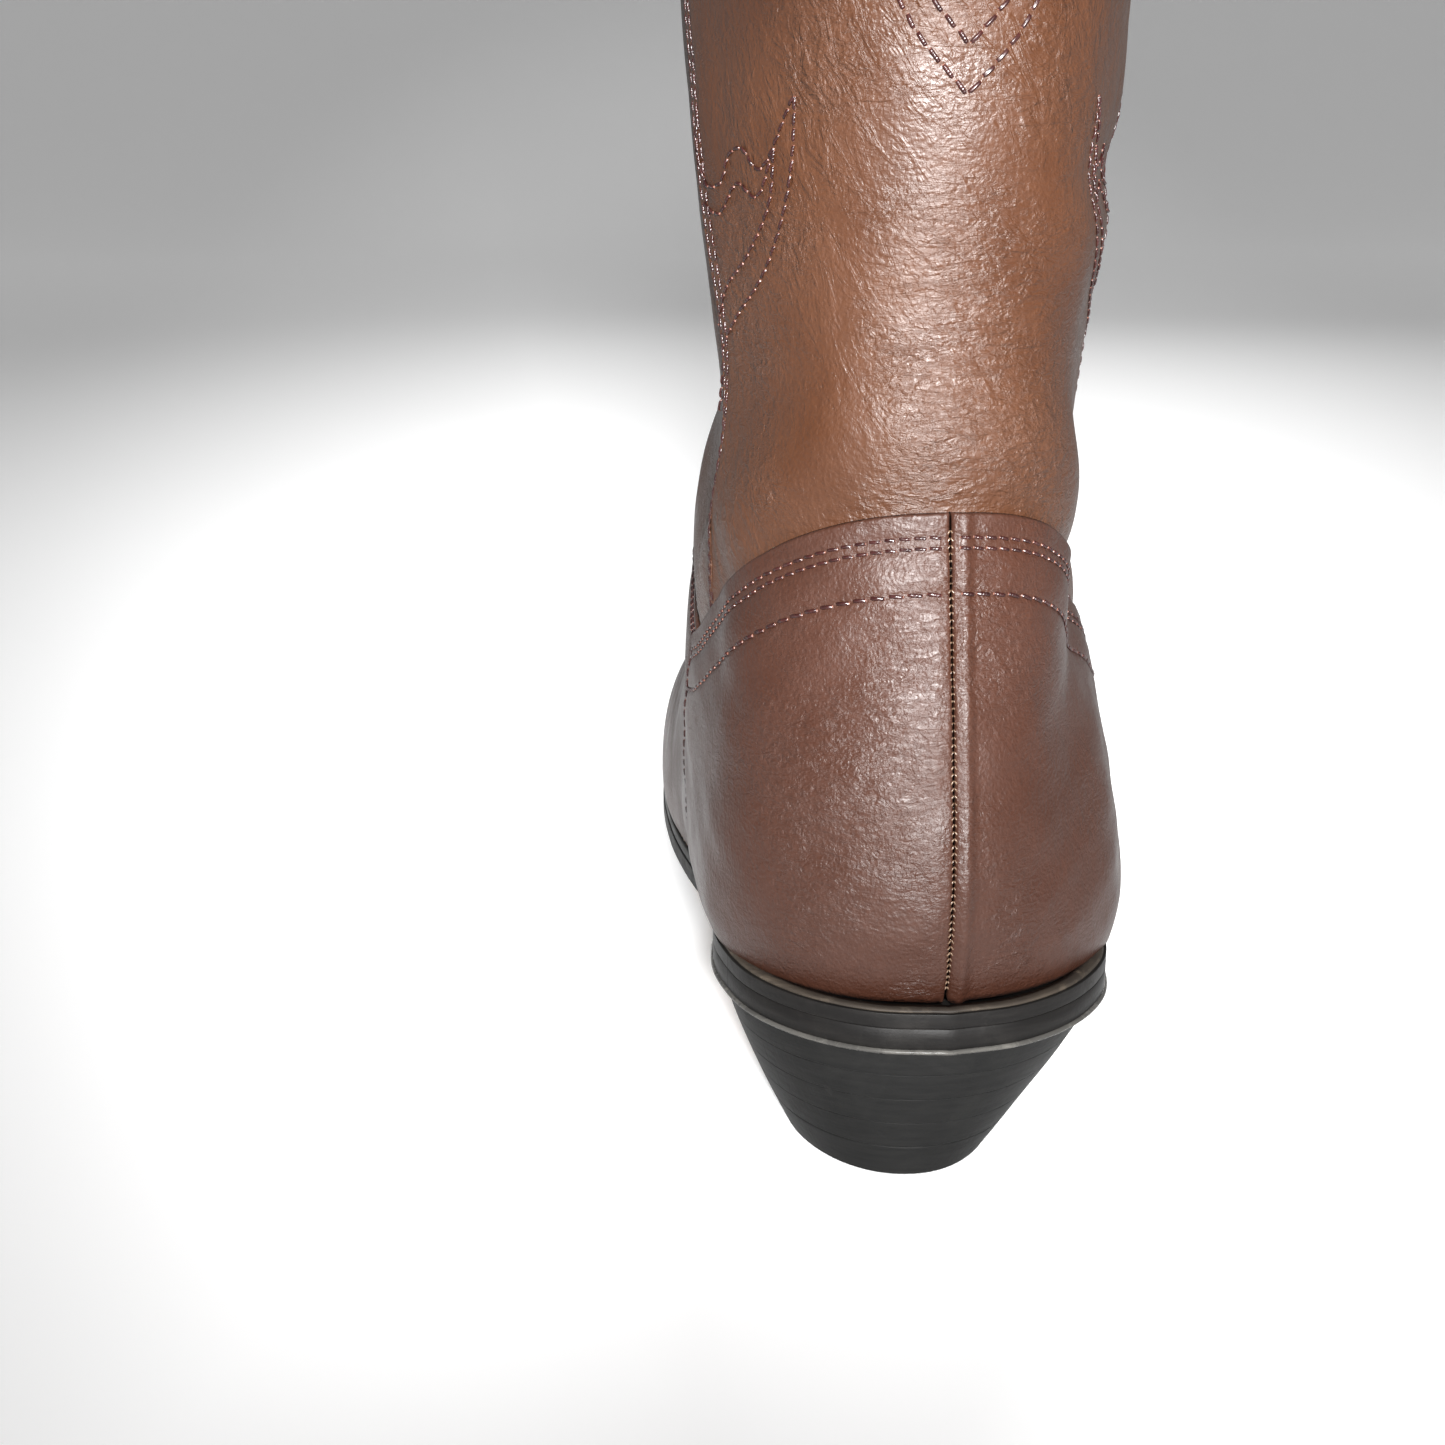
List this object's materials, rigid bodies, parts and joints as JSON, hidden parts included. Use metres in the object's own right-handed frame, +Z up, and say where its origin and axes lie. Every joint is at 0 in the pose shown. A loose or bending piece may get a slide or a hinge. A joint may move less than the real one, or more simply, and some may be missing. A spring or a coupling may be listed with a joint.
{
  "type": "cowboy boot",
  "caption": "Right cowboy boot with a scalloped shaft, pull straps, counter with back seam, narrow toe, welted leather sole and a low tapered stacked heel.",
  "frame": {"origin": "on the floor, at the centre of the boot's box", "axes": "+Z up, the toe points along -Y, +X towards the inner (medial) side of the right foot"},
  "size_m": [0.0982, 0.288, 0.3339],
  "materials": {
    "shaft_leather": "satin, fine pebble grain",
    "vamp_leather": "satin, creased, lightly scuffed",
    "binding_leather": "satin",
    "lining": "matt, undyed",
    "stiffener": "matt fibre board",
    "doubler": "woven cotton",
    "insole_leather": "matt",
    "sock": "smooth, worn",
    "shank_steel": "plain",
    "cork": "pressed cork",
    "sole_edge": "dyed edge, worn to tan and grey",
    "outsole_leather": "black painted edge, tan bottom",
    "heel_leather": "black painted, scuffed",
    "heel_rubber": "hard rubber",
    "nail_steel": "plain",
    "peg_wood": "plain lemonwood"
  },
  "bodies": {
    "boot": {"shaft_front": "shaft_leather", "shaft_back": "shaft_leather", "vamp": "vamp_leather", "counter_medial": "vamp_leather", "counter_lateral": "vamp_leather", "top_binding": "binding_leather", "pull_strap_medial_outer": "binding_leather", "pull_strap_medial_inner": "binding_leather", "pull_strap_lateral_outer": "binding_leather", "pull_strap_lateral_inner": "binding_leather", "lining_shaft_front": "lining", "lining_shaft_back": "lining", "lining_vamp": "lining", "lining_heel": "lining", "heel_stiffener": "stiffener", "toe_puff": "stiffener", "vamp_doubler": "doubler", "insole": "insole_leather", "sock_liner": "sock", "shank": "shank_steel", "cork_filler": "cork", "seat_filler": "cork", "welt": "sole_edge", "heel_rand": "sole_edge", "outsole": "outsole_leather", "heel_lift_1": "heel_leather", "heel_lift_2": "heel_leather", "heel_lift_3": "heel_leather", "heel_lift_4": "heel_leather", "heel_cap": "heel_rubber", "heel_nails": "nail_steel", "heel_cap_nails": "nail_steel", "shank_pegs": "peg_wood"},
    "medial_loop": {"pull_strap_medial_loop": "binding_leather"},
    "lateral_loop": {"pull_strap_lateral_loop": "binding_leather"}
  },
  "joints": [
    {"name": "medial_loop_flop", "type": "hinge", "parent": "boot", "child": "medial_loop", "pos_m": [0.0436, 0.07501, 0.3025], "axis": [0, 1, 0], "range_deg": [-35, 35], "stiffness_Nm_per_rad": 0.01},
    {"name": "lateral_loop_flop", "type": "hinge", "parent": "boot", "child": "lateral_loop", "pos_m": [-0.0436, 0.07501, 0.3025], "axis": [0, 1, 0], "range_deg": [-35, 35], "stiffness_Nm_per_rad": 0.01}
  ]
}
